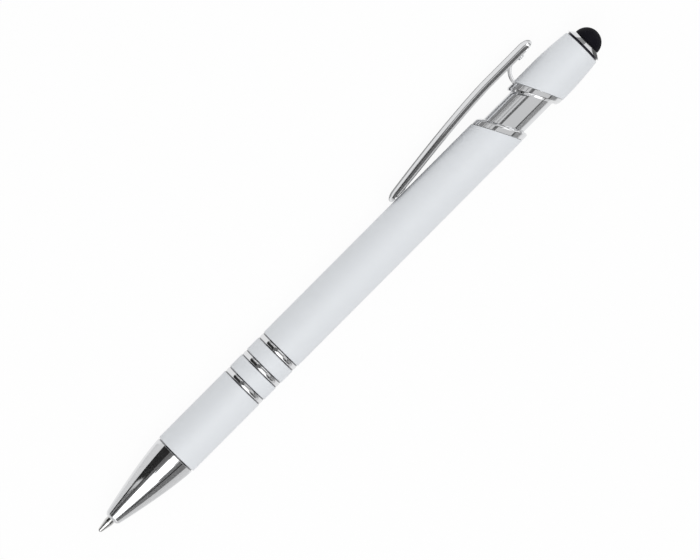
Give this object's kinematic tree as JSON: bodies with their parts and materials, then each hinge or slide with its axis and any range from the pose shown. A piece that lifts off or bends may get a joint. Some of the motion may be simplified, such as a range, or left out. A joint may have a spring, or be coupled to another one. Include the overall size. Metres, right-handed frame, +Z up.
{
  "type": "ballpoint pen",
  "caption": "Retractable metal ballpoint pen with a slant cut white barrel, bright trim rings, a bowed pocket clip on its click cap and a rubber stylus dome.",
  "frame": {"origin": "on the table, under the middle of the pen's bounding box", "axes": "+X along the pen from nib to stylus, +Z up; the pen lies on its barrel and on one edge of the clip, which points to +Y and slightly down"},
  "size_m": [0.1412, 0.0138, 0.0096],
  "materials": {
    "white_coating": "matt white coating on aluminium",
    "chrome": "bright chrome plating",
    "black_rubber": "soft matt rubber",
    "nickel_silver": "drawn nickel silver",
    "spring_steel": "drawn spring wire",
    "carbide": "ground carbide ball",
    "refill_plastic": "extruded plastic tube",
    "blue_ink": "thick blue ink",
    "white_acetal": "moulded white acetal",
    "black_acetal": "moulded black acetal"
  },
  "bodies": {
    "barrel": {"barrel": "white_coating", "nose_cone": "chrome", "trim_ring_lower": "chrome", "trim_ring_middle": "chrome", "trim_ring_upper": "chrome", "barrel_ferrule": "chrome", "cam_sleeve": "black_acetal", "return_spring": "spring_steel"},
    "plunger": {"plunger_neck": "chrome", "push_cam": "black_acetal", "clip_collar": "chrome", "cap": "white_coating", "cap_core": "white_acetal", "stylus_ring": "chrome", "stylus_tip": "black_rubber", "clip_strap": "chrome"},
    "clip": {"clip_blade": "chrome", "clip_rivet": "chrome"},
    "refill": {"refill_point": "nickel_silver", "refill_tube": "refill_plastic", "ink": "blue_ink"},
    "rotor": {"rotor": "white_acetal"},
    "ball": {"writing_ball": "carbide"}
  },
  "joints": [
    {"name": "plunger_slide", "type": "slide", "parent": "barrel", "child": "plunger", "axis": [1, 0, 0], "range_m": [-0.002, 0.005], "stiffness_N_per_m": 250},
    {"name": "refill_slide", "type": "slide", "parent": "barrel", "child": "refill", "axis": [1, 0, 0], "range_m": [-0.002, 0.005], "deforming": ["return_spring"]},
    {"name": "clip_flex", "type": "hinge", "parent": "plunger", "child": "clip", "pos_m": [0.05156, 0.00247, 0.00331], "axis": [0, -0.3111, -0.9504], "range_deg": [0, 5], "stiffness_Nm_per_rad": 0.15, "deforming": ["clip_strap"]},
    {"name": "rotor_turn", "type": "hinge", "parent": "refill", "child": "rotor", "pos_m": [0.0369, -0.00209, 0.0048], "axis": [1, 0, 0], "continuous": true},
    {"name": "ball_roll", "type": "hinge", "parent": "refill", "child": "ball", "pos_m": [-0.07021, -0.00209, 0.0048], "axis": [0, 0.3111, 0.9504], "continuous": true}
  ],
  "couplings": [
    {"joint": "refill_slide", "follows": "plunger_slide", "ratio": 1}
  ]
}
